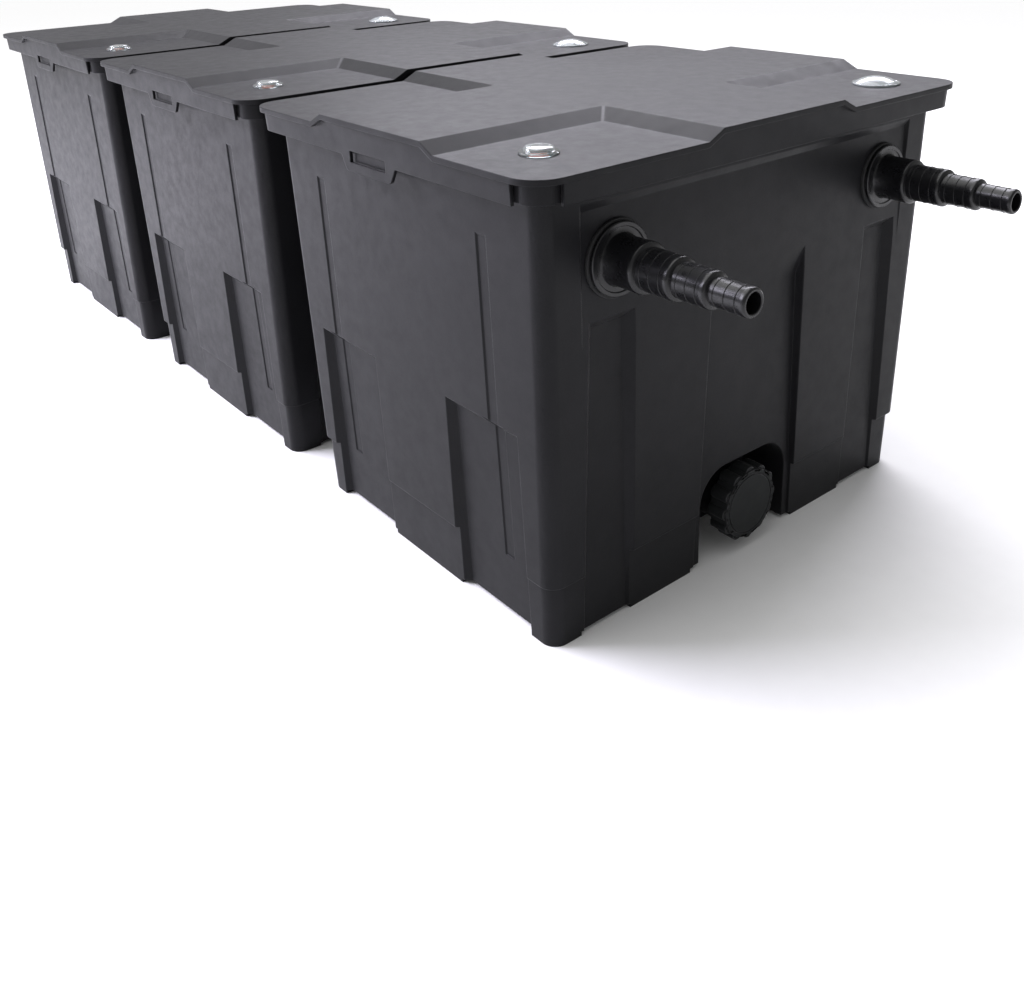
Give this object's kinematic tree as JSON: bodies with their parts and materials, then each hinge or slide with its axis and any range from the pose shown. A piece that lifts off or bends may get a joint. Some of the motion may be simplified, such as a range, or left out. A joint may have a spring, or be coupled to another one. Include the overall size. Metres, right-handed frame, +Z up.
{
  "type": "pond filter",
  "caption": "Gravity pond filter: a row of box tanks with lift-off lids, linked by pipes, with stepped hose tails at one end and a screw drain cap in an arch low on each tank.",
  "frame": {"origin": "middle of the whole outline, on the ground under the feet", "axes": "+X along the row of tanks towards the two hose tails, +Y across the row, +Z up"},
  "size_m": [1.5618, 0.56, 0.435],
  "materials": {
    "tank_plastic": "matte",
    "fitting_plastic": "matte",
    "cap_plastic": "matte",
    "hose_tail_plastic": "gloss",
    "clear_plastic": "gloss",
    "indicator_orange": "satin",
    "foam_blue": "matte",
    "foam_green": "matte",
    "seal_rubber": "matte"
  },
  "bodies": {
    "base": {"tank_1": "tank_plastic", "front_baffle_1": "tank_plastic", "rear_baffle_1": "tank_plastic", "foam_grid_1": "fitting_plastic", "foam_slab_a_1": "foam_blue", "foam_slab_b_1": "foam_blue", "foam_slab_c_1": "foam_green", "foam_slab_d_1": "foam_green", "drain_spout_1": "fitting_plastic", "tank_2": "tank_plastic", "front_baffle_2": "tank_plastic", "rear_baffle_2": "tank_plastic", "foam_grid_2": "fitting_plastic", "foam_slab_a_2": "foam_blue", "foam_slab_b_2": "foam_blue", "foam_slab_c_2": "foam_green", "foam_slab_d_2": "foam_green", "drain_spout_2": "fitting_plastic", "tank_3": "tank_plastic", "front_baffle_3": "tank_plastic", "rear_baffle_3": "tank_plastic", "foam_grid_3": "fitting_plastic", "foam_slab_a_3": "foam_blue", "foam_slab_b_3": "foam_blue", "foam_slab_c_3": "foam_green", "foam_slab_d_3": "foam_green", "drain_spout_3": "fitting_plastic", "hose_tail_left": "hose_tail_plastic", "hose_tail_right": "hose_tail_plastic", "outlet_tail": "hose_tail_plastic", "tail_gaskets": "seal_rubber", "outlet_gasket": "seal_rubber", "link_seals_12": "seal_rubber", "link_seals_23": "seal_rubber", "tail_nuts": "fitting_plastic", "outlet_nut": "fitting_plastic", "link_pipe_12": "fitting_plastic", "link_pipe_23": "fitting_plastic"},
    "lid_1": {"lid_1": "tank_plastic", "window_1": "clear_plastic", "indicator_cover_1": "clear_plastic", "dome_nuts_1": "fitting_plastic"},
    "float_1": {"indicator_float_1": "indicator_orange"},
    "drain_cap_1": {"drain_cap_1": "cap_plastic"},
    "drain_seal_1": {"drain_cap_seal_1": "seal_rubber"},
    "lid_2": {"lid_2": "tank_plastic", "window_2": "clear_plastic", "indicator_cover_2": "clear_plastic", "dome_nuts_2": "fitting_plastic"},
    "float_2": {"indicator_float_2": "indicator_orange"},
    "drain_cap_2": {"drain_cap_2": "cap_plastic"},
    "drain_seal_2": {"drain_cap_seal_2": "seal_rubber"},
    "lid_3": {"lid_3": "tank_plastic", "window_3": "clear_plastic", "indicator_cover_3": "clear_plastic", "dome_nuts_3": "fitting_plastic"},
    "float_3": {"indicator_float_3": "indicator_orange"},
    "drain_cap_3": {"drain_cap_3": "cap_plastic"},
    "drain_seal_3": {"drain_cap_seal_3": "seal_rubber"}
  },
  "joints": [
    {"name": "lid_lift_1", "type": "slide", "parent": "base", "child": "lid_1", "axis": [0, 0, 1], "range_m": [0, 0.25]},
    {"name": "float_rise_1", "type": "slide", "parent": "lid_1", "child": "float_1", "axis": [0, 0, 1], "range_m": [0, 0.004]},
    {"name": "drain_seal_travel_1", "type": "slide", "parent": "base", "child": "drain_seal_1", "axis": [1, 0, 0], "range_m": [0, 0.016]},
    {"name": "drain_cap_turn_1", "type": "hinge", "parent": "drain_seal_1", "child": "drain_cap_1", "pos_m": [0.6395, 0, 0.048], "axis": [1, 0, 0], "range_deg": [0, 1440]},
    {"name": "lid_lift_2", "type": "slide", "parent": "base", "child": "lid_2", "axis": [0, 0, 1], "range_m": [0, 0.25]},
    {"name": "float_rise_2", "type": "slide", "parent": "lid_2", "child": "float_2", "axis": [0, 0, 1], "range_m": [0, 0.004]},
    {"name": "drain_seal_travel_2", "type": "slide", "parent": "base", "child": "drain_seal_2", "axis": [1, 0, 0], "range_m": [0, 0.016]},
    {"name": "drain_cap_turn_2", "type": "hinge", "parent": "drain_seal_2", "child": "drain_cap_2", "pos_m": [0.1765, 0, 0.048], "axis": [1, 0, 0], "range_deg": [0, 1440]},
    {"name": "lid_lift_3", "type": "slide", "parent": "base", "child": "lid_3", "axis": [0, 0, 1], "range_m": [0, 0.25]},
    {"name": "float_rise_3", "type": "slide", "parent": "lid_3", "child": "float_3", "axis": [0, 0, 1], "range_m": [0, 0.004]},
    {"name": "drain_seal_travel_3", "type": "slide", "parent": "base", "child": "drain_seal_3", "axis": [1, 0, 0], "range_m": [0, 0.016]},
    {"name": "drain_cap_turn_3", "type": "hinge", "parent": "drain_seal_3", "child": "drain_cap_3", "pos_m": [-0.2865, 0, 0.048], "axis": [1, 0, 0], "range_deg": [0, 1440]}
  ],
  "couplings": [
    {"joint": "drain_seal_travel_1", "follows": "drain_cap_turn_1", "m_per_rad": 0.00063662},
    {"joint": "drain_seal_travel_2", "follows": "drain_cap_turn_2", "m_per_rad": 0.00063662},
    {"joint": "drain_seal_travel_3", "follows": "drain_cap_turn_3", "m_per_rad": 0.00063662}
  ]
}
